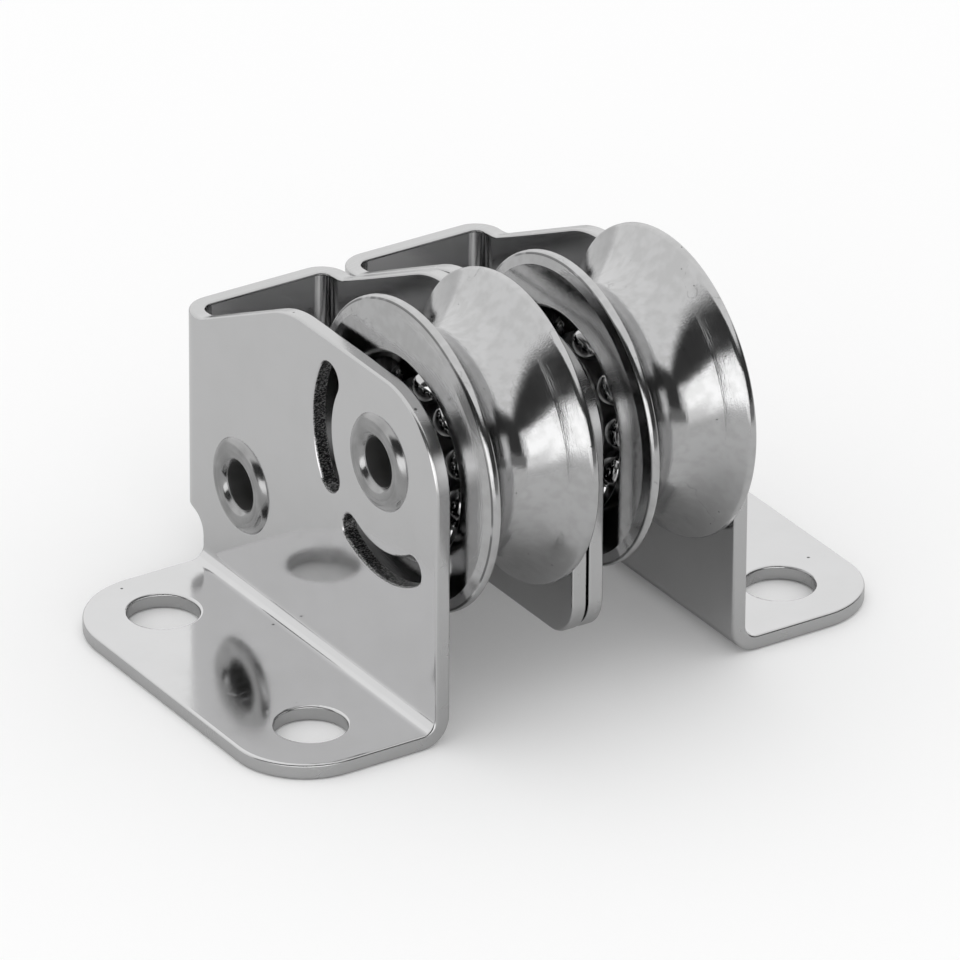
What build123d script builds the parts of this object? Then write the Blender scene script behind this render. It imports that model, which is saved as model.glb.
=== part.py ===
"""Double stand-up block: two ball-bearing sheaves side by side, each in a folded
stainless bracket that screws down on deck.

Frame: X runs along the axle, Y from the front edge of the cheeks to the back, Z up from
the deck. The origin is the middle of the four mounting holes, on the underside of the base.
"""
from build123d import *
from math import acos, atan2, cos, hypot, pi, sin
import os

# Sheet and folds
sheet = 1.2
edge_round = 0.22
bend_inside = 1.0
bend_outside = bend_inside + sheet
bracket_gap = 0.2
cavity_width = 10.7

# Base flanges and mounting holes
hole_diameter = 5.3
hole_pitch_x = 40.0
hole_pitch_y = 20.0
hole_margin_side = 6.2
hole_margin_front = 5.8
hole_margin_rear = 5.7
flange_corner_front = 5.7
flange_corner_rear = 6.5

# Cheeks, measured from the deck and from the front edge
axle_height = 19.4
axle_setback = 7.55
cheek_above_axle = 6.75
nose_radius = 6.9
ramp_top_setback = 19.8
ramp_round = 9.0
ramp_foot_round = 3.0
ramp_foot_run = 0.8
back_overhang = 3.3
back_top = 20.35
back_bottom = 4.55
relief_radius = 1.6
inner_setback = 0.65
inner_corner = 3.0

# Two curved slots round the axle, in the outer cheeks, from one angle to the other
upper_slot_radius = 7.68
upper_slot_width = 2.4
upper_slot_angles = (-31.0, 29.0)
lower_slot_radius = 7.98
lower_slot_width = 2.1
lower_slot_angles = (-123.2, -61.4)

# Sheaves
sheave_diameter = 23.2
sheave_side_gap = 0.65
groove_wall = 0.85
groove_flare = 0.53
rim_flat = 0.57
rim_round = 0.3
rim_slope_width = 0.3
rim_slope_height = 0.9
bore_chamfer = 0.2

# Ball bearing: two loose rows in each sheave, running on a fixed hub. The circle has room
# for ball_places balls; the angles say where the balls of a row lie, counted from the back.
ball_diameter = 2.8
ball_places = 13
outer_ball_angles = (105.5, 134.7, 164.5, 193.8, 226, 255, 284, 313, 342, 371, 400)
inner_ball_angles = (107, 144.5, 175, 205.8, 234, 262.5, 291, 319.5, 348, 376.5, 405)
ball_spacing = 0.12
ball_inset = 0.1
ball_clearance = 0.05
race_shoulder = 0.9
hub_shoulder = 0.45

# Tubular rivets, at the axle and behind the sheaves
rivet_bore = 3.7
rivet_wall = 0.55
rivet_head_diameter = 7.3
rivet_head_height = 0.42
rivet_clearance = 0.05
rear_rivet_to_back = 8.7
rear_rivet_height = 9.35
spacer_wall = 0.8

# Places that follow from the sizes above
inner_face = bracket_gap / 2
cavity_start = inner_face + sheet
cavity_middle = cavity_start + cavity_width / 2
cavity_end = cavity_start + cavity_width
outer_face = cavity_end + sheet
flange_end = hole_pitch_x / 2 + hole_margin_side
front = -hole_pitch_y / 2 - hole_margin_front
foot_back = hole_pitch_y / 2 + hole_margin_rear
back = foot_back + back_overhang
cheek_top = axle_height + cheek_above_axle
axle = (front + axle_setback, axle_height)
rear_rivet = (back - rear_rivet_to_back, rear_rivet_height)

sheave_radius = sheave_diameter / 2
sheave_half = cavity_width / 2 - sheave_side_gap
ball_radius = ball_diameter / 2
ball_circle = (ball_diameter + ball_spacing) / (2 * sin(pi / ball_places))
ball_offset = sheave_half - ball_inset - ball_radius
race_radius = ball_circle + ball_radius + ball_clearance
web_half = ball_offset - ball_radius - ball_clearance
groove_floor = race_radius + groove_wall

rivet_radius = rivet_bore / 2 + rivet_wall
rivet_hole = rivet_radius + rivet_clearance


def outline(points, rounds):
    """A flat face through (Y, Z) points, with the corners in rounds filleted."""
    face = make_face(Polyline(*points, close=True))
    for corner, radius in rounds:
        vertex = face.vertices().sort_by_distance((*corner, 0))[0]
        face = fillet(vertex, radius)
    return face


def side_blank(face, start, end):
    """A (Y, Z) outline made solid from X = start to X = end."""
    return Pos(start, 0, 0) * extrude(Plane.YZ * face, end - start)


def cheek_outline(front_edge, lower_points, lower_rounds):
    """Side view of one cheek: round nose, level top, ramp down to the back wall."""
    nose = (front_edge, cheek_top)
    ramp_top = (front + ramp_top_setback, cheek_top)
    ramp_foot = (back - bend_outside - ramp_foot_run, back_top)
    points = [nose, ramp_top, ramp_foot, (back + 1, back_top), (back + 1, back_bottom)]
    rounds = [(nose, nose_radius), (ramp_top, ramp_round), (ramp_foot, ramp_foot_round)]
    return outline(points + lower_points, rounds + lower_rounds)


def folded_sheet():
    """The bent sheet before it is trimmed: a U channel and the flange turned outward."""
    depth = back - front
    middle = (inner_face + outer_face) / 2
    outer = Pos(middle, front + depth / 2) * Rectangle(outer_face - inner_face, depth)
    outer = fillet(outer.vertices().group_by(Axis.Y)[-1], bend_outside)
    inner = Pos(cavity_middle, front + depth / 2 - sheet) * Rectangle(cavity_width, depth)
    inner = fillet(inner.vertices().group_by(Axis.Y)[-1], bend_inside)
    channel = Pos(0, 0, bend_outside) * extrude(outer - inner, cheek_top - bend_outside)

    fold = (cavity_end, 0)
    crook = (outer_face, sheet)
    leg = bend_outside + 1
    points = [fold, (flange_end, 0), (flange_end, sheet), crook, (outer_face, leg), (cavity_end, leg)]
    section = outline(points, [(fold, bend_outside), (crook, bend_inside)])
    flange = Pos(0, foot_back, 0) * extrude(Plane.XZ * section, foot_back - front)
    return channel + flange


def curved_slot(radius, width, angles):
    """One slot through the outer cheek, concentric with the axle."""
    start, end = angles
    arc = CenterArc(axle, radius, start, end - start)
    return side_blank(SlotArc(arc, width), cavity_end - 1, outer_face + 1)


def bracket():
    """The right bracket: one sheet folded four times, with its holes and slots."""
    relief = (foot_back, back_bottom)
    outer = cheek_outline(front, [relief, (foot_back, 0), (front, 0)], [(relief, relief_radius)])
    toe = (front + inner_setback, back_bottom)
    inner = cheek_outline(front + inner_setback, [toe], [(toe, inner_corner)])
    trim = side_blank(outer, cavity_middle, flange_end + 1) + side_blank(inner, 0, cavity_middle)
    body = folded_sheet() & trim

    for end, radius in ((0, flange_corner_front), (-1, flange_corner_rear)):
        corners = body.edges().filter_by(Axis.Z).group_by(Axis.X)[-1]
        body = fillet(corners.sort_by(Axis.Y)[end], radius)

    for y in (-hole_pitch_y / 2, hole_pitch_y / 2):
        body -= Pos(hole_pitch_x / 2, y, sheet / 2) * Cylinder(hole_diameter / 2, 2 * sheet)
    body -= curved_slot(upper_slot_radius, upper_slot_width, upper_slot_angles)
    body -= curved_slot(lower_slot_radius, lower_slot_width, lower_slot_angles)
    body = fillet(cut_edges(body), edge_round)
    for centre in (axle, rear_rivet):
        body -= side_blank(Pos(*centre) * Circle(rivet_hole), 0, outer_face + 1)
    return body


def cut_edges(body):
    """Edges where the sheet's surface meets a sheared or punched wall."""
    faces = body.faces()
    edges = []
    for edge in body.edges():
        normals = [face.normal_at(edge @ 0.5) for face in faces if edge in face.edges()]
        if len(normals) == 2 and abs(normals[0].dot(normals[1])) < 0.3:
            edges.append(edge)
    return edges


def turned(profile, centre, x=0.0):
    """A profile drawn in (X, radius), turned round the X axis and put on a (Y, Z) centre."""
    solid = revolve(Plane.XZ * profile, Axis.X)
    return Pos(x, *centre) * solid


def mirrored(half):
    """A (X, radius) half profile together with its mirror image in X."""
    return half + mirror(half, Plane.YZ)


def sheave():
    """One sheave about the origin: flared rope groove, rounded rims, two ball races."""
    shoulder = (sheave_half - rim_slope_width, sheave_radius)
    crest = (shoulder[0] - rim_flat, sheave_radius)
    groove_radius = crest[0] - groove_flare
    rise = groove_floor + groove_radius - sheave_radius
    flank = atan2(crest[0], rise) - acos(groove_radius / hypot(crest[0], rise))
    middle, tangent = [
        (groove_radius * sin(angle), groove_floor + groove_radius * (1 - cos(angle)))
        for angle in (flank / 2, flank)
    ]
    edges = [
        ThreePointArc((0, groove_floor), middle, tangent),
        Polyline(
            tangent,
            crest,
            shoulder,
            (sheave_half, sheave_radius - rim_slope_height),
            (sheave_half, race_radius + bore_chamfer),
            (sheave_half - bore_chamfer, race_radius),
            (web_half, race_radius),
            (web_half, race_radius - race_shoulder),
            (0, race_radius - race_shoulder),
            (0, groove_floor),
        ),
    ]
    half = make_face(Curve() + edges)
    for corner in (crest, shoulder):
        vertex = half.vertices().sort_by_distance((*corner, 0))[0]
        half = fillet(vertex, rim_round)
    return turned(mirrored(half), (0, 0))


def hub():
    """The fixed inner race: a thick bush with two ball grooves, clamped by the cheeks."""
    shoulder = ball_circle - ball_radius + hub_shoulder
    wall = shoulder - rivet_hole
    profile = Pos(0, rivet_hole + wall / 2) * Rectangle(cavity_width, wall)
    for x in (-ball_offset, ball_offset):
        profile -= Pos(x, ball_circle) * Circle(ball_radius + ball_clearance)
    return turned(profile, (0, 0))


def ball_row(x, angles):
    """One row of loose balls in the plane at x."""
    turns = [Rot(angle, 0, 0) for angle in angles]
    return [Pos(x, 0, 0) * turn * Pos(0, ball_circle, 0) * Sphere(ball_radius) for turn in turns]


def tubular_rivet(centre):
    """A hollow rivet through all four cheeks, rolled over into a round head at each end."""
    inside = rivet_bore / 2
    head = rivet_head_diameter / 2
    corners = [(outer_face, inside), (0, inside), (0, rivet_radius), (outer_face, rivet_radius)]
    crown = ((inside + head) / 2, rivet_head_height)
    half_width = (head - inside) / 2
    roll = [
        (outer_face + crown[1] * sin(angle), crown[0] + half_width * cos(angle))
        for angle in (0, pi / 4, pi / 2, 3 * pi / 4, pi)
    ]
    edges = [
        Polyline(*corners, roll[0]),
        ThreePointArc(*roll[:3]),
        ThreePointArc(*roll[2:]),
    ]
    return turned(mirrored(make_face(Curve() + edges)), centre)


def spacer():
    """A plain tube round the rear rivet that keeps the two cheeks apart."""
    ring = Circle(rivet_hole + spacer_wall) - Circle(rivet_hole)
    return side_blank(Pos(*rear_rivet) * ring, -cavity_width / 2, cavity_width / 2)


def write(name, solids):
    """Write one node as a STEP file, as a group where it holds several solids."""
    shape = Compound(children=solids) if len(solids) > 1 else solids[0]
    shape.label = name
    export_step(shape, f"parts/{name}.step")


def main():
    os.makedirs("parts", exist_ok=True)
    right = bracket()
    write("right_bracket", [right])
    write("left_bracket", [mirror(right, Plane.YZ)])
    write("axle_rivet", [tubular_rivet(axle)])
    write("rear_rivet", [tubular_rivet(rear_rivet)])

    for side, x in (("left", -cavity_middle), ("right", cavity_middle)):
        on_axle = Pos(x, *axle)
        write(f"{side}_spacer", [Pos(x, 0, 0) * spacer()])
        write(f"{side}_hub", [on_axle * hub()])
        write(f"{side}_sheave", [on_axle * sheave()])
        outward = -ball_offset if side == "left" else ball_offset
        rows = (("outer", outward, outer_ball_angles), ("inner", -outward, inner_ball_angles))
        for row, offset, angles in rows:
            write(f"{side}_balls_{row}", [on_axle * ball for ball in ball_row(offset, angles)])


main()
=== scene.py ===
import math

import bpy
from mathutils import Matrix, Vector


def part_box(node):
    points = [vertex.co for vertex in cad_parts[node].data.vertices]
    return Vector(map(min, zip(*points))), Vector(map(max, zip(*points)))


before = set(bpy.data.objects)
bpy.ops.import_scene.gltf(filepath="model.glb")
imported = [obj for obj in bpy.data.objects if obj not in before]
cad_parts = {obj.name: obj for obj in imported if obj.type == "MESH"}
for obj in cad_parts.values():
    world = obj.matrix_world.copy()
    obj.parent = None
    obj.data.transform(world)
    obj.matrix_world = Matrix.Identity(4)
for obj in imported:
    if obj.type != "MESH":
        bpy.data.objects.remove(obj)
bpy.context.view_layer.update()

print("frame loaded:", len(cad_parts), "nodes")


def deselectAll():
    bpy.ops.object.select_all(action="DESELECT")


def feed(tree, value, socket):  # a socket is linked, a number or colour is typed in
    if isinstance(value, bpy.types.NodeSocket):
        tree.links.new(value, socket)
    else:
        socket.default_value = value


def addNode(tree, kind, **settings):
    node = tree.nodes.new("ShaderNode" + kind)
    for name, value in settings.items():
        setattr(node, name, value)
    return node


def maths(tree, operation, first, second=0.0, clamp=False):
    node = addNode(tree, "Math", operation=operation, use_clamp=clamp)
    feed(tree, first, node.inputs[0])
    feed(tree, second, node.inputs[1])
    return node.outputs[0]


def vectorMaths(tree, operation, first, second):
    node = addNode(tree, "VectorMath", operation=operation)
    feed(tree, first, node.inputs[0])
    feed(tree, second, node.inputs[1])
    return node.outputs[0]


def ramp(tree, value, fromLow, fromHigh, toLow=0.0, toHigh=1.0):
    node = addNode(tree, "MapRange", interpolation_type="SMOOTHSTEP")
    for name, number in zip(("Value", "From Min", "From Max", "To Min", "To Max"),
                            (value, fromLow, fromHigh, toLow, toHigh)):
        feed(tree, number, node.inputs[name])
    return node.outputs["Result"]


def noise(tree, vector, scale, detail=2.0, roughness=0.5):
    node = addNode(tree, "TexNoise")
    feed(tree, vector, node.inputs["Vector"])
    feed(tree, scale, node.inputs["Scale"])
    feed(tree, detail, node.inputs["Detail"])
    feed(tree, roughness, node.inputs["Roughness"])
    return node.outputs["Fac"]


def newGroup(name, inputs, outputs):
    tree = bpy.data.node_groups.new(name, "ShaderNodeTree")
    for label, kind in inputs:
        tree.interface.new_socket(label, in_out="INPUT", socket_type="NodeSocket" + kind)
    for label in outputs:
        tree.interface.new_socket(label, in_out="OUTPUT", socket_type="NodeSocketFloat")
    start = tree.nodes.new("NodeGroupInput")
    end = tree.nodes.new("NodeGroupOutput")
    return tree, start.outputs, end.inputs


def useGroup(tree, group, values):
    node = tree.nodes.new("ShaderNodeGroup")
    node.node_tree = group
    for name, value in values.items():
        feed(tree, value, node.inputs[name])
    return node.outputs


# Camera

viewpoint = {
    "target": (-0.000231, -0.001286, 0.011337),
    "azimuth": -32.9225,
    "elevation": 27.4874,
    "roll": 0.379,
    "distance": 0.8358,
    "lens": 437.24,
    "clip": (0.05, 8.0),
}


def addCamera(place):
    turn, lift = math.radians(place["azimuth"]), math.radians(place["elevation"])
    back = Vector((math.sin(turn) * math.cos(lift), -math.cos(turn) * math.cos(lift), math.sin(lift)))
    facing = back.to_track_quat("Z", "Y").to_matrix().to_4x4()
    rolled = facing @ Matrix.Rotation(math.radians(place["roll"]), 4, "Z")
    deselectAll()
    bpy.ops.object.camera_add()
    camera = bpy.context.object
    camera.name = "viewCamera"
    camera.matrix_world = Matrix.Translation(Vector(place["target"]) + back * place["distance"]) @ rolled
    camera.data.lens = place["lens"]
    camera.data.clip_start, camera.data.clip_end = place["clip"]
    bpy.context.scene.camera = camera
    print("camera at", [round(value, 4) for value in camera.location])


addCamera(viewpoint)


# Studio: pale floor, white surroundings, soft lamps, and boards that show in the metal

studio = {
    "floorSize": 4.0,
    "floorColour": 0.90,
    "floorRoughness": 0.9,
    "floorLift": 0.06,
    "floorDrop": 0.00005,
    "surroundings": 1.0,
    "boardRadius": 1.5,
    "boardColour": 0.05,
    # grey of the disc seen only in the metal, which paints shade on the near floor in reflections
    "nearFloorShadeColour": 0.68,
    "matDrop": 0.00002,
    "cardColour": 0.22,
    "cardRise": 0.0012,
    "cardSlope": 0.002,
    "cardStart": 0.115,
    "glowStart": 0.075,
    "glowEnd": 0.15,
    "glowNear": 0.66,
    "glowFront": 1.15,
    "glowSide": 1.85,
    "glowTurn": (-0.98, -0.45),
}
boards = [  # each edge is level with a tilted plane: its highest elevation and where that lies
    {"name": "leftBoard", "from": -106, "to": 34, "low": (24.5, -12), "high": (65, -31), "fade": 12},
    {"name": "sideBoard", "from": -106, "to": -90, "low": (0.1, -98), "high": (20, -98), "fade": 1},
    {"name": "rightBoard", "from": 14, "to": 98, "low": (0.1, 30), "high": (39, 30),
     "fade": 10, "endFade": 9},
]
cards = [  # flat on the floor, out of view
    {"name": "leftCard", "from": -94, "to": 10, "glows": True},
    {"name": "sideCard", "from": -112, "to": -95, "glows": False},
    {"name": "rightCard", "from": 11, "to": 90, "glows": False},
]
lamps = [
    {"name": "rearSoftbox", "azimuth": 160, "elevation": 42, "distance": 2.2,
     "size": (3.4, 2.6), "power": 1.6},
    {"name": "frontStrip", "azimuth": -38, "elevation": 9, "distance": 1.8,
     "size": (3.4, 0.9), "power": 7.0},
]


def direction(azimuth, elevation):
    turn, lift = math.radians(azimuth), math.radians(elevation)
    return Vector((math.sin(turn) * math.cos(lift), -math.cos(turn) * math.cos(lift), math.sin(lift)))


def addFloor(values):
    deselectAll()
    bpy.ops.mesh.primitive_plane_add(size=values["floorSize"], location=(0, 0, -values["floorDrop"]))
    floor = bpy.context.object
    floor.name = "studioFloor"
    material = bpy.data.materials.new("paleFloor")
    material.use_nodes = True
    tree = material.node_tree
    shader = tree.nodes["Principled BSDF"]
    shader.inputs["Base Color"].default_value = (values["floorColour"],) * 3 + (1,)
    shader.inputs["Roughness"].default_value = values["floorRoughness"]
    shader.inputs["Specular IOR Level"].default_value = 0.0
    rays = addNode(tree, "LightPath")
    seen = maths(tree, "MAXIMUM", rays.outputs["Is Camera Ray"], rays.outputs["Is Glossy Ray"])
    seen = maths(tree, "MAXIMUM", seen, rays.outputs["Is Transmission Ray"])
    shader.inputs["Emission Color"].default_value = (1, 1, 1, 1)
    feed(tree, maths(tree, "MULTIPLY", seen, values["floorLift"]), shader.inputs["Emission Strength"])
    floor.data.materials.append(material)


def cutBand(band, start, end):  # keeps only the faces of a round band between two azimuths
    bpy.ops.object.mode_set(mode="EDIT")
    bpy.ops.mesh.select_mode(type="FACE")
    bpy.ops.mesh.select_all(action="DESELECT")
    bpy.ops.object.mode_set(mode="OBJECT")
    for polygon in band.data.polygons:
        azimuth = math.degrees(math.atan2(polygon.center.x, -polygon.center.y))
        polygon.select = not start < azimuth < end
    bpy.ops.object.mode_set(mode="EDIT")
    bpy.ops.mesh.delete(type="FACE")
    bpy.ops.object.mode_set(mode="OBJECT")


def trimEdge(edge, **side):  # cuts along a tilted plane through the middle of the object
    bpy.ops.object.mode_set(mode="EDIT")
    bpy.ops.mesh.select_all(action="SELECT")
    bpy.ops.mesh.bisect(plane_co=(0, 0, 0), plane_no=edgeNormal(edge), **side)
    bpy.ops.object.mode_set(mode="OBJECT")


def makeCardMaterial(name, shade):
    material = bpy.data.materials.new(name)
    material.use_nodes = True
    shader = material.node_tree.nodes["Principled BSDF"]
    shader.inputs["Base Color"].default_value = (shade, shade, shade, 1)
    shader.inputs["Roughness"].default_value = 1.0
    shader.inputs["Specular IOR Level"].default_value = 0.0
    return material


def edgeNormal(edge):
    elevation, azimuth = edge
    return direction(azimuth + 180, 90 - elevation)


def makeBoardMaterial(values, board):  # thins out towards its upper edge, and one board at an end
    material = makeCardMaterial(board["name"] + "Cloth", values["boardColour"])
    tree = material.node_tree
    place = addNode(tree, "TexCoord")
    sight = addNode(tree, "VectorMath", operation="NORMALIZE")
    feed(tree, place.outputs["Object"], sight.inputs[0])
    above = addNode(tree, "VectorMath", operation="DOT_PRODUCT")
    feed(tree, sight.outputs[0], above.inputs[0])
    feed(tree, edgeNormal(board["high"]), above.inputs[1])
    cover = ramp(tree, above.outputs["Value"], -math.sin(math.radians(board["fade"])), 0.0, 1.0, 0.0)
    if "endFade" in board:
        aside = addNode(tree, "VectorMath", operation="DOT_PRODUCT")
        feed(tree, sight.outputs[0], aside.inputs[0])
        feed(tree, direction(board["from"] + 90, 0), aside.inputs[1])
        end = ramp(tree, aside.outputs["Value"], 0.0, math.sin(math.radians(board["endFade"])))
        cover = maths(tree, "MULTIPLY", cover, end)
    feed(tree, cover, tree.nodes["Principled BSDF"].inputs["Alpha"])
    return material


def makeGlowMaterial(values):  # brightens away from the object and towards its left side
    material = makeCardMaterial("glowingCard", 0.0)
    tree = material.node_tree
    shader = tree.nodes["Principled BSDF"]
    place = addNode(tree, "TexCoord")
    away = addNode(tree, "VectorMath", operation="LENGTH")
    feed(tree, place.outputs["Object"], away.inputs[0])
    axes = addNode(tree, "SeparateXYZ")
    feed(tree, place.outputs["Object"], axes.inputs[0])
    sideways = maths(tree, "DIVIDE", axes.outputs[0], away.outputs["Value"])
    far = ramp(tree, sideways, *values["glowTurn"], values["glowSide"], values["glowFront"])
    glow = ramp(tree, away.outputs["Value"], values["glowStart"], values["glowEnd"], values["glowNear"], far)
    shader.inputs["Emission Color"].default_value = (1, 1, 1, 1)
    feed(tree, glow, shader.inputs["Emission Strength"])
    return material


def showOnlyInMetal(board, material):
    board.data.materials.append(material)
    board.visible_camera = False
    board.visible_shadow = False
    board.visible_diffuse = False


def addBoard(values, board, material):
    deselectAll()
    height = 2 * values["boardRadius"]
    bpy.ops.mesh.primitive_cylinder_add(vertices=180, radius=values["boardRadius"], depth=height,
                                        end_fill_type="NOTHING", location=(0, 0, height / 2))
    shell = bpy.context.object
    shell.name = board["name"]
    bpy.ops.object.transform_apply(location=True)
    cutBand(shell, board["from"], board["to"])
    trimEdge(board["low"], clear_inner=True)
    trimEdge(board["high"], clear_outer=True)
    showOnlyInMetal(shell, material)


def addMat(values):  # a grey disc seen only in the metal: painted shade on the near floor as the metal reflects it
    deselectAll()
    bpy.ops.mesh.primitive_circle_add(vertices=96, radius=values["boardRadius"], fill_type="NGON",
                                      location=(0, 0, -values["matDrop"]))
    mat = bpy.context.object
    mat.name = "nearFloorShadeMat"
    bpy.ops.object.transform_apply(location=True)
    showOnlyInMetal(mat, makeCardMaterial("nearFloorShadeMat", values["nearFloorShadeColour"]))


def addCard(values, card, material):
    deselectAll()
    start = values["glowStart"] if card["glows"] else values["cardStart"]
    bpy.ops.mesh.primitive_cone_add(vertices=360, radius1=start, radius2=values["boardRadius"],
                                    depth=values["cardSlope"], end_fill_type="NOTHING",
                                    location=(0, 0, values["cardRise"]))
    sheet = bpy.context.object
    sheet.name = card["name"]
    bpy.ops.object.transform_apply(location=True)
    cutBand(sheet, card["from"], card["to"])
    showOnlyInMetal(sheet, material)


def addLamp(lamp):
    deselectAll()
    bpy.ops.object.light_add(type="AREA")
    light = bpy.context.object
    light.name = lamp["name"]
    aim = direction(lamp["azimuth"], lamp["elevation"])
    light.matrix_world = (Matrix.Translation(aim * lamp["distance"])
                          @ aim.to_track_quat("Z", "Y").to_matrix().to_4x4())
    light.data.shape = "RECTANGLE"
    light.data.size, light.data.size_y = lamp["size"]
    light.data.energy = lamp["power"]


def addWorld(values):
    world = bpy.data.worlds.new("whiteStudio")
    bpy.context.scene.world = world
    world.use_nodes = True
    background = world.node_tree.nodes["Background"]
    background.inputs["Color"].default_value = (1, 1, 1, 1)
    background.inputs["Strength"].default_value = values["surroundings"]


addFloor(studio)
addMat(studio)
cardGrey = makeCardMaterial("darkCard", studio["cardColour"])
cardGlow = makeGlowMaterial(studio)
for board in boards:
    addBoard(studio, board, makeBoardMaterial(studio, board))
for card in cards:
    addCard(studio, card, cardGlow if card["glows"] else cardGrey)
for lamp in lamps:
    addLamp(lamp)
addWorld(studio)
bpy.context.scene.view_settings.view_transform = "Standard"
print("studio ready")


# Surface effects shared by the materials

cloudShape = {"scale": 260.0, "detail": 3.0, "roughness": 0.55}
speckShape = {"wobbleScale": 6000.0, "wobble": 0.00012}
scratchShape = {
    "bendScale": 220.0,
    "bend": 0.002,
    "turn": (0.6, 0.35, 0.9),
    "stretch": (1.0, 9.0, 3.0),
    "width": 0.012,
    "patchScale": 380.0,
    "patchEdge": (0.52, 0.6),
}
stainShape = {
    "level": 0.56,
    "width": 0.009,
    "fineScale": 3200.0,
    "fineEdge": (0.38, 0.6),
    "patchScale": 150.0,
    "patchEdge": (0.5, 0.62),
}
ringShape = {"bandWidth": 7.0, "detail": 1.5}


def makeGrainGroup():  # tiny unevenness and faint clouds of a polished surface
    tree, given, result = newGroup("surfaceGrain", [("Vector", "Vector"), ("Grain Size", "Float")],
                                   ["Height", "Cloud"])
    scale = maths(tree, "DIVIDE", 1.0, given["Grain Size"])
    feed(tree, noise(tree, given["Vector"], scale, 3.0, 0.6), result["Height"])
    feed(tree, noise(tree, given["Vector"], **cloudShape), result["Cloud"])
    return tree


def makeSpeckGroup():  # sparse small dark pits
    tree, given, result = newGroup("darkSpecks", [("Vector", "Vector"), ("Spacing", "Float"),
                                                  ("Size", "Float"), ("Share", "Float")], ["Mask"])
    cells = addNode(tree, "TexVoronoi", voronoi_dimensions="3D", feature="F1")
    wobble = addNode(tree, "TexNoise")
    feed(tree, given["Vector"], wobble.inputs["Vector"])
    wobble.inputs["Scale"].default_value = speckShape["wobbleScale"]
    moved = vectorMaths(tree, "MULTIPLY", wobble.outputs["Color"], (speckShape["wobble"],) * 3)
    feed(tree, vectorMaths(tree, "ADD", given["Vector"], moved), cells.inputs["Vector"])
    feed(tree, maths(tree, "DIVIDE", 1.0, given["Spacing"]), cells.inputs["Scale"])
    dot = maths(tree, "LESS_THAN", cells.outputs["Distance"],
                maths(tree, "DIVIDE", given["Size"], given["Spacing"]))
    split = addNode(tree, "SeparateColor")
    feed(tree, cells.outputs["Color"], split.inputs[0])
    chosen = maths(tree, "LESS_THAN", split.outputs[0], given["Share"])
    feed(tree, maths(tree, "MULTIPLY", dot, chosen), result["Mask"])
    return tree


def makeScratchGroup():  # a few hairline scratches
    tree, given, result = newGroup("hairScratches", [("Vector", "Vector"), ("Length", "Float")], ["Mask"])
    bend = addNode(tree, "TexNoise")
    feed(tree, given["Vector"], bend.inputs["Vector"])
    bend.inputs["Scale"].default_value = scratchShape["bendScale"]
    shifted = vectorMaths(tree, "MULTIPLY", bend.outputs["Color"], (scratchShape["bend"],) * 3)
    turned = addNode(tree, "Mapping")
    feed(tree, vectorMaths(tree, "ADD", given["Vector"], shifted), turned.inputs["Vector"])
    turned.inputs["Rotation"].default_value = scratchShape["turn"]
    turned.inputs["Scale"].default_value = scratchShape["stretch"]
    lines = addNode(tree, "TexVoronoi", feature="DISTANCE_TO_EDGE")
    feed(tree, turned.outputs[0], lines.inputs["Vector"])
    feed(tree, maths(tree, "DIVIDE", 1.0, given["Length"]), lines.inputs["Scale"])
    thin = maths(tree, "LESS_THAN", lines.outputs["Distance"], scratchShape["width"])
    patches = noise(tree, given["Vector"], scratchShape["patchScale"])
    patches = ramp(tree, patches, *scratchShape["patchEdge"])
    feed(tree, maths(tree, "MULTIPLY", thin, patches), result["Mask"])
    return tree


def makeStainGroup():  # thin outlines left by dried drops
    tree, given, result = newGroup("driedStains", [("Vector", "Vector"), ("Size", "Float")], ["Mask"])
    scale = maths(tree, "DIVIDE", 1.0, given["Size"])
    drops = noise(tree, given["Vector"], scale, 2.5, 0.55)
    aside = maths(tree, "ABSOLUTE", maths(tree, "SUBTRACT", drops, stainShape["level"]))
    outline = ramp(tree, aside, 0.0, stainShape["width"], 1.0, 0.0)
    fine = noise(tree, given["Vector"], stainShape["fineScale"], 2.0, 0.6)
    fine = ramp(tree, fine, *stainShape["fineEdge"])
    patches = noise(tree, given["Vector"], stainShape["patchScale"], 1.0)
    patches = ramp(tree, patches, *stainShape["patchEdge"])
    feed(tree, maths(tree, "MULTIPLY", maths(tree, "MULTIPLY", outline, fine), patches), result["Mask"])
    return tree


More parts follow.
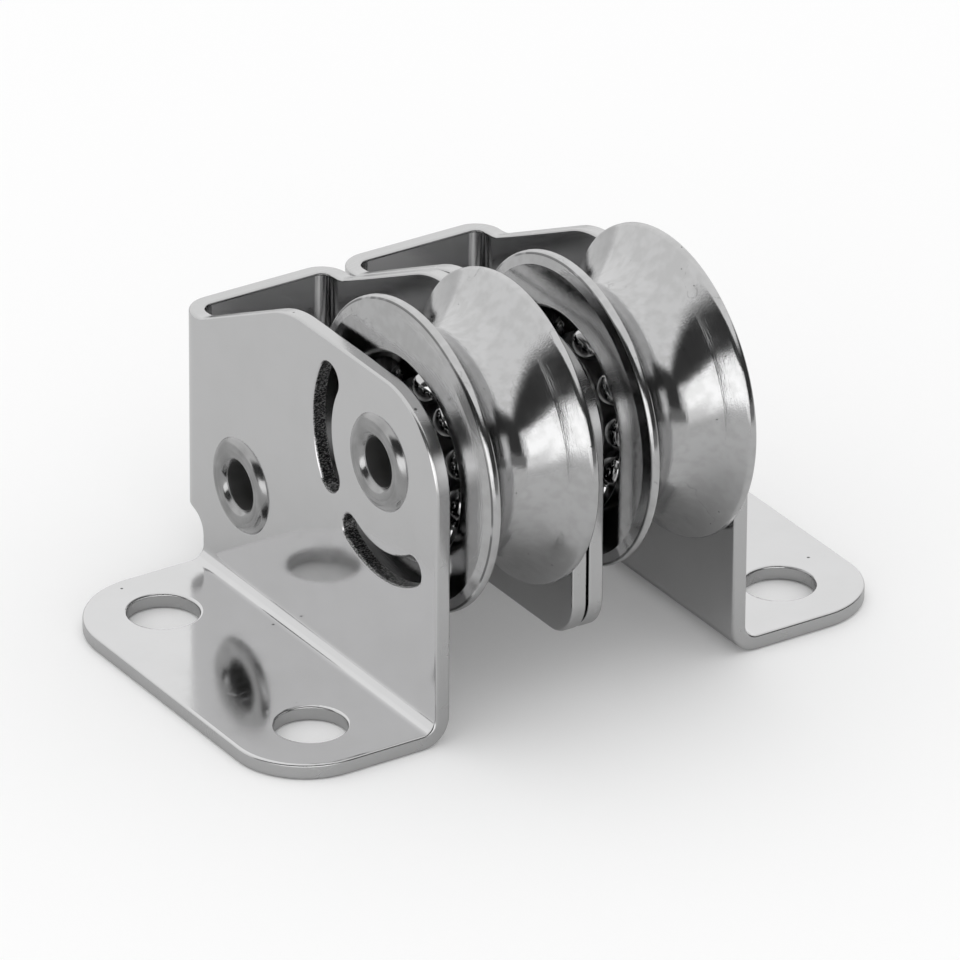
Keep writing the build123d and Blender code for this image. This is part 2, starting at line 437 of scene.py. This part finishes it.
def makeTurnedGroup():  # rings left by the lathe, round an axis along X
    tree, given, result = newGroup("turnedRings", [("Vector", "Vector"), ("Centre", "Vector"),
                                                   ("Pitch", "Float"), ("Break Up", "Float")],
                                   ["Rings", "Bands", "Radius", "Across"])
    local = vectorMaths(tree, "SUBTRACT", given["Vector"], given["Centre"])
    axes = addNode(tree, "SeparateXYZ")
    feed(tree, local, axes.inputs[0])
    square = maths(tree, "ADD", maths(tree, "POWER", axes.outputs[1], 2.0),
                   maths(tree, "POWER", axes.outputs[2], 2.0))
    radius = maths(tree, "SQRT", square)
    feed(tree, radius, result["Radius"])
    feed(tree, maths(tree, "ABSOLUTE", axes.outputs[0]), result["Across"])
    aroundY = maths(tree, "DIVIDE", axes.outputs[1], radius)
    aroundZ = maths(tree, "DIVIDE", axes.outputs[2], radius)
    for label, coarser in (("Rings", 1.0), ("Bands", ringShape["bandWidth"])):
        pitch = maths(tree, "MULTIPLY", given["Pitch"], coarser)
        place = addNode(tree, "CombineXYZ")
        feed(tree, maths(tree, "DIVIDE", axes.outputs[0], pitch), place.inputs[0])
        feed(tree, maths(tree, "DIVIDE", radius, pitch), place.inputs[1])
        feed(tree, maths(tree, "MULTIPLY", aroundY, given["Break Up"]), place.inputs[2])
        rings = addNode(tree, "TexNoise", noise_dimensions="4D")
        feed(tree, place.outputs[0], rings.inputs["Vector"])
        feed(tree, maths(tree, "MULTIPLY", aroundZ, given["Break Up"]), rings.inputs["W"])
        rings.inputs["Scale"].default_value = 1.0
        rings.inputs["Detail"].default_value = ringShape["detail"]
        feed(tree, rings.outputs["Fac"], result[label])
    return tree


grainGroup = makeGrainGroup()
speckGroup = makeSpeckGroup()
scratchGroup = makeScratchGroup()
stainGroup = makeStainGroup()
turnedGroup = makeTurnedGroup()
print("surface effects ready")


def newMetal(name, colour):
    material = bpy.data.materials.new(name)
    material.use_nodes = True
    tree = material.node_tree
    shader = tree.nodes["Principled BSDF"]
    shader.inputs["Metallic"].default_value = 1.0
    shader.inputs["Base Color"].default_value = (*colour, 1)
    place = addNode(tree, "TexCoord")
    return material, tree, shader, place


def mixColour(tree, first, second, share):
    node = addNode(tree, "Mix", data_type="RGBA")
    feed(tree, share, node.inputs[0])
    feed(tree, (*first, 1) if isinstance(first, tuple) else first, node.inputs[6])
    feed(tree, (*second, 1) if isinstance(second, tuple) else second, node.inputs[7])
    return node.outputs[2]


def addBump(tree, height, depth, normal=None):
    node = addNode(tree, "Bump")
    node.inputs["Strength"].default_value = 1.0
    node.inputs["Distance"].default_value = depth
    feed(tree, height, node.inputs["Height"])
    if normal is not None:
        feed(tree, normal, node.inputs["Normal"])
    return node.outputs[0]


def putOn(material, *names):
    for name in names:
        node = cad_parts[name]
        if not node.material_slots:
            node.data.materials.append(None)
        for slot in node.material_slots:
            slot.material = material


def axisCentre(node):  # middle of a turned node, which lies on its own axis
    low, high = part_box(node)
    return (low + high) / 2


# Brackets: mirror-polished sheet with sheared edges and punched slots

sheetFinish = {
    "colour": (0.645, 0.645, 0.648),
    "cloudColour": (0.63, 0.63, 0.632),
    "wallColour": (0.50, 0.50, 0.50),
    "wallShare": 0.6,
    "speckColour": (0.12, 0.12, 0.12),
    "specks": {"Spacing": 0.0016, "Size": 0.00011, "Share": 0.1},
    "cloudEdge": (0.35, 0.7),
    "roughness": 0.08,
    "cloudRoughness": 0.05,
    "wallRoughness": 0.12,
    "punchedColour": (0.04, 0.04, 0.04),
    "punchedRoughness": 0.22,
    "scratchLength": 0.006,
    "scratchRoughness": 0.08,
    "grainSize": 0.00016,
    "grainDepth": 0.0000012,
    "shearSpacing": 0.00007,
    "shearStretch": 2.5,
    "hatchEdge": (0.38, 0.52),
    "shearDepth": 0.000012,
    "bendStart": 0.0168,
    "flangeTop": 0.0034,
    "sheetTop": 0.00121,
    "sideTurn": (0.75, 0.45),
    "topTurn": (0.25, 0.5),
    "endTurn": (0.35, 0.6),
    "slotInner": 0.0062,
    "slotOuter": 0.00925,
    "slotNear": 0.0052,
    "slotHalfLength": 0.0058,
}


def makeShearedWallMask(tree, place, values):  # cut edges lie across their cheek or flange
    axes = addNode(tree, "SeparateXYZ")
    feed(tree, place.outputs["Object"], axes.inputs[0])
    facing = addNode(tree, "SeparateXYZ")
    feed(tree, place.outputs["Normal"], facing.inputs[0])
    acrossX, acrossY, acrossZ = [maths(tree, "ABSOLUTE", facing.outputs[index]) for index in range(3)]
    high = maths(tree, "GREATER_THAN", axes.outputs[2], values["flangeTop"])
    low = maths(tree, "SUBTRACT", 1.0, high)
    beforeBend = maths(tree, "LESS_THAN", axes.outputs[1], values["bendStart"])
    cheekWall = maths(tree, "MULTIPLY", beforeBend, ramp(tree, acrossX, *values["sideTurn"]))
    upperWall = maths(tree, "MAXIMUM", cheekWall, ramp(tree, acrossZ, *values["topTurn"]))
    onFlange = maths(tree, "LESS_THAN", axes.outputs[2], values["sheetTop"])
    flangeWall = maths(tree, "MULTIPLY", onFlange, ramp(tree, acrossZ, *values["sideTurn"]))
    lowerWall = maths(tree, "MAXIMUM", flangeWall, ramp(tree, acrossY, *values["endTurn"]))
    upperWall = maths(tree, "MULTIPLY", upperWall, high)
    lowerWall = maths(tree, "MULTIPLY", lowerWall, low)
    return maths(tree, "ADD", upperWall, lowerWall), high


def makeSlotMask(tree, place, values):  # the ring round the axle that holds both slots
    local = vectorMaths(tree, "SUBTRACT", place.outputs["Object"], axisCentre("axle_rivet"))
    axes = addNode(tree, "SeparateXYZ")
    feed(tree, local, axes.inputs[0])
    reach = addNode(tree, "VectorMath", operation="LENGTH")
    feed(tree, vectorMaths(tree, "MULTIPLY", local, (0, 1, 1)), reach.inputs[0])
    ring = maths(tree, "MULTIPLY", maths(tree, "GREATER_THAN", reach.outputs["Value"], values["slotInner"]),
                 maths(tree, "LESS_THAN", reach.outputs["Value"], values["slotOuter"]))
    halves = []
    for outward, along in ((axes.outputs[1], axes.outputs[2]),
                           (maths(tree, "MULTIPLY", axes.outputs[2], -1.0), axes.outputs[1])):
        beyond = maths(tree, "GREATER_THAN", outward, values["slotNear"])
        within = maths(tree, "LESS_THAN", maths(tree, "ABSOLUTE", along), values["slotHalfLength"])
        halves.append(maths(tree, "MULTIPLY", beyond, within))
    upper, lower = halves
    return maths(tree, "MULTIPLY", ring, maths(tree, "MAXIMUM", upper, lower))


def makeSheetMaterial(values):
    material, tree, shader, place = newMetal("polishedSheet", values["colour"])
    where = place.outputs["Object"]
    wall, high = makeShearedWallMask(tree, place, values)
    grain = useGroup(tree, grainGroup, {"Vector": where, "Grain Size": values["grainSize"]})
    scratches = useGroup(tree, scratchGroup, {"Vector": where, "Length": values["scratchLength"]})
    specks = useGroup(tree, speckGroup, {"Vector": where, **values["specks"]})

    fine = 1 / values["shearSpacing"]
    long = fine / values["shearStretch"]
    alongX = vectorMaths(tree, "MULTIPLY", where, (long, fine, fine))
    alongZ = vectorMaths(tree, "MULTIPLY", where, (fine, fine, long))
    shearUp = noise(tree, alongX, 1.0, 3.0, 0.65)
    shearDown = noise(tree, alongZ, 1.0, 3.0, 0.65)
    shear = maths(tree, "ADD", maths(tree, "MULTIPLY", shearUp, high),
                  maths(tree, "MULTIPLY", shearDown, maths(tree, "SUBTRACT", 1.0, high)))

    cloud = ramp(tree, grain["Cloud"], *values["cloudEdge"])
    colour = mixColour(tree, values["colour"], values["cloudColour"], cloud)
    punched = maths(tree, "MULTIPLY", wall, makeSlotMask(tree, place, values))
    colour = mixColour(tree, colour, values["wallColour"],
                       maths(tree, "MULTIPLY", wall, values["wallShare"]))
    hatch = maths(tree, "MULTIPLY", punched, ramp(tree, shear, *values["hatchEdge"]))
    colour = mixColour(tree, colour, values["punchedColour"], hatch)
    colour = mixColour(tree, colour, values["speckColour"], specks["Mask"])
    feed(tree, colour, shader.inputs["Base Color"])

    rough = maths(tree, "ADD", values["roughness"], maths(tree, "MULTIPLY", cloud, values["cloudRoughness"]))
    rough = maths(tree, "ADD", rough, maths(tree, "MULTIPLY", scratches["Mask"], values["scratchRoughness"]))
    rough = maths(tree, "ADD", rough, maths(tree, "MULTIPLY", wall, values["wallRoughness"]))
    rough = maths(tree, "ADD", rough, maths(tree, "MULTIPLY", punched, values["punchedRoughness"]))
    feed(tree, rough, shader.inputs["Roughness"])

    polished = addBump(tree, grain["Height"], values["grainDepth"])
    sheared = addBump(tree, maths(tree, "MULTIPLY", shear, punched), values["shearDepth"], polished)
    feed(tree, sheared, shader.inputs["Normal"])
    return material


putOn(makeSheetMaterial(sheetFinish), "left_bracket", "right_bracket")
print("brackets finished")


# Sheaves: turned and lightly polished, with fine rings and dark specks

sheaveFinish = {
    "colour": (0.54, 0.54, 0.543),
    "bandColour": (0.49, 0.49, 0.49),
    "speckColour": (0.1, 0.1, 0.1),
    "roughness": 0.1,
    "bandRoughness": 0.05,
    "pitch": 0.00011,
    "breakUp": 14.0,
    "ringDepth": 0.0000062,
    "grainSize": 0.00013,
    "grainDepth": 0.000004,
    "specks": {"Spacing": 0.0009, "Size": 0.00006, "Share": 0.3},
    "stainSize": 0.0042,
    "stainColour": (0.2, 0.2, 0.2),
    "stainShare": 0.45,
    # painted shade of a fine turned groove near the rim, drawn as a thin dark ring on the side faces
    "lineRadius": 0.01142,
    "lineWidth": 0.0001,
    "grooveShadeColour": (0.08, 0.08, 0.08),
    "grooveShadeShare": 0.75,
    "grooveShadeBreakUp": (0.36, 0.48),
    "boreRadius": 0.0078,
    "boreColour": (0.50, 0.50, 0.50),
    "boreRoughness": 0.2,
}
flankPolish = {  # the buffing wheel eased the flanks of the rope groove
    "start": 0.0089,
    "blend": 0.0006,
    "slope": 0.08,
    "crestAcross": 0.0039,
    "crestRadius": 0.0116,
    "boreEdge": 0.0082,
}
bandLook = {"cloudShare": 0.4, "edge": (0.4, 0.62)}


def makeFlankHeight(tree, turned, values):
    def easedBy(radius):
        past = maths(tree, "MAXIMUM", maths(tree, "SUBTRACT", radius, values["start"]), 0.0)
        fading = maths(tree, "EXPONENT", maths(tree, "DIVIDE", past, -values["blend"]))
        started = maths(tree, "MULTIPLY", maths(tree, "SUBTRACT", 1.0, fading), values["blend"])
        return maths(tree, "MULTIPLY", maths(tree, "SUBTRACT", past, started), -values["slope"])

    inside = maths(tree, "MULTIPLY", maths(tree, "LESS_THAN", turned["Across"], values["crestAcross"]),
                   maths(tree, "GREATER_THAN", turned["Radius"], values["boreEdge"]))
    groove = maths(tree, "MULTIPLY", easedBy(turned["Radius"]), inside)
    outside = maths(tree, "MULTIPLY", easedBy(values["crestRadius"]), maths(tree, "SUBTRACT", 1.0, inside))
    return maths(tree, "ADD", groove, outside)


def makeTurnedMaterial(name, node, values, flank=None):
    material, tree, shader, place = newMetal(name, values["colour"])
    where = place.outputs["Object"]
    turned = useGroup(tree, turnedGroup, {"Vector": where, "Centre": axisCentre(node),
                                          "Pitch": values["pitch"], "Break Up": values["breakUp"]})
    grain = useGroup(tree, grainGroup, {"Vector": where, "Grain Size": values["grainSize"]})
    specks = useGroup(tree, speckGroup, {"Vector": where, **values["specks"]})
    clouded = maths(tree, "ADD", maths(tree, "MULTIPLY", turned["Bands"], 1 - bandLook["cloudShare"]),
                    maths(tree, "MULTIPLY", grain["Cloud"], bandLook["cloudShare"]))
    band = ramp(tree, clouded, *bandLook["edge"])
    colour = mixColour(tree, values["colour"], values["bandColour"], band)
    colour = mixColour(tree, colour, values["speckColour"], specks["Mask"])
    if "stainSize" in values:
        stains = useGroup(tree, stainGroup, {"Vector": where, "Size": values["stainSize"]})
        colour = mixColour(tree, colour, values["stainColour"],
                           maths(tree, "MULTIPLY", stains["Mask"], values["stainShare"]))
        # painted shade of a fine turned groove near the rim: a thin dark ring on the side faces, broken up
        # in places by cloud noise
        aside = maths(tree, "ABSOLUTE", maths(tree, "SUBTRACT", turned["Radius"], values["lineRadius"]))
        grooveShade = ramp(tree, aside, values["lineWidth"] / 2, values["lineWidth"], values["grooveShadeShare"], 0.0)
        shadeGaps = ramp(tree, grain["Cloud"], *values["grooveShadeBreakUp"])
        onSide = maths(tree, "GREATER_THAN", turned["Across"], flankPolish["crestAcross"])
        grooveShade = maths(tree, "MULTIPLY", maths(tree, "MULTIPLY", grooveShade, shadeGaps), onSide)
        colour = mixColour(tree, colour, values["grooveShadeColour"], grooveShade)
    bore = maths(tree, "LESS_THAN", turned["Radius"], values["boreRadius"])
    colour = mixColour(tree, colour, values["boreColour"], bore)
    feed(tree, colour, shader.inputs["Base Color"])
    rough = maths(tree, "ADD", values["roughness"], maths(tree, "MULTIPLY", band, values["bandRoughness"]))
    rough = maths(tree, "ADD", rough, maths(tree, "MULTIPLY", bore, values["boreRoughness"]))
    feed(tree, rough, shader.inputs["Roughness"])
    eased = None if flank is None else addBump(tree, makeFlankHeight(tree, turned, flank), 1.0)
    rings = addBump(tree, turned["Rings"], values["ringDepth"], eased)
    uneven = addBump(tree, grain["Height"], values["grainDepth"], rings)
    feed(tree, uneven, shader.inputs["Normal"])
    return material


for side in ("left", "right"):
    sheave = side + "_sheave"
    putOn(makeTurnedMaterial(side + "TurnedSheave", sheave, sheaveFinish, flankPolish), sheave)
print("sheaves finished")


# Hubs, spacers and rivets: the same lathe work with other finishes

hubFinish = dict(sheaveFinish, roughness=0.45, boreRoughness=0.0)
spacerFinish = dict(sheaveFinish, roughness=0.36, boreRoughness=0.0)
rivetFinish = {
    "colour": (0.38, 0.38, 0.38),
    "bandColour": (0.31, 0.31, 0.31),
    "speckColour": (0.1, 0.1, 0.1),
    "roughness": 0.15,
    "bandRoughness": 0.08,
    "pitch": 0.00012,
    "breakUp": 2.0,
    "ringDepth": 0.0000018,
    "grainSize": 0.00022,
    "grainDepth": 0.000002,
    "specks": {"Spacing": 0.0012, "Size": 0.0001, "Share": 0.12},
    "boreRadius": 0.0019,
    "boreColour": (0.33, 0.33, 0.33),
    "boreRoughness": 0.28,
}

for side in ("left", "right"):
    putOn(makeTurnedMaterial(side + "GroundHub", side + "_hub", hubFinish), side + "_hub")
    putOn(makeTurnedMaterial(side + "SpacerTube", side + "_spacer", spacerFinish), side + "_spacer")
for rivet in ("axle_rivet", "rear_rivet"):
    putOn(makeTurnedMaterial(rivet.split("_")[0] + "RivetSteel", rivet, rivetFinish), rivet)
print("hubs, spacers and rivets finished")


# Balls: hard and mirror bright

ballFinish = {
    "colour": (0.56, 0.56, 0.56),
    "speckColour": (0.15, 0.15, 0.15),
    "specks": {"Spacing": 0.001, "Size": 0.00008, "Share": 0.1},
    "roughness": 0.05,
    "smearRoughness": 0.08,
    "smearEdge": (0.45, 0.7),
    "grainSize": 0.00025,
    "grainDepth": 0.0000006,
}


def makeBallMaterial(values):
    material, tree, shader, place = newMetal("ballSteel", values["colour"])
    where = place.outputs["Object"]
    grain = useGroup(tree, grainGroup, {"Vector": where, "Grain Size": values["grainSize"]})
    specks = useGroup(tree, speckGroup, {"Vector": where, **values["specks"]})
    colour = mixColour(tree, values["colour"], values["speckColour"], specks["Mask"])
    feed(tree, colour, shader.inputs["Base Color"])
    smear = ramp(tree, grain["Cloud"], *values["smearEdge"])
    smeared = maths(tree, "MULTIPLY", smear, values["smearRoughness"])
    feed(tree, maths(tree, "ADD", values["roughness"], smeared), shader.inputs["Roughness"])
    feed(tree, addBump(tree, grain["Height"], values["grainDepth"]), shader.inputs["Normal"])
    return material


ballNodes = [f"{side}_balls_{row}" for side in ("left", "right") for row in ("outer", "inner")]
putOn(makeBallMaterial(ballFinish), *ballNodes)
print("balls finished")
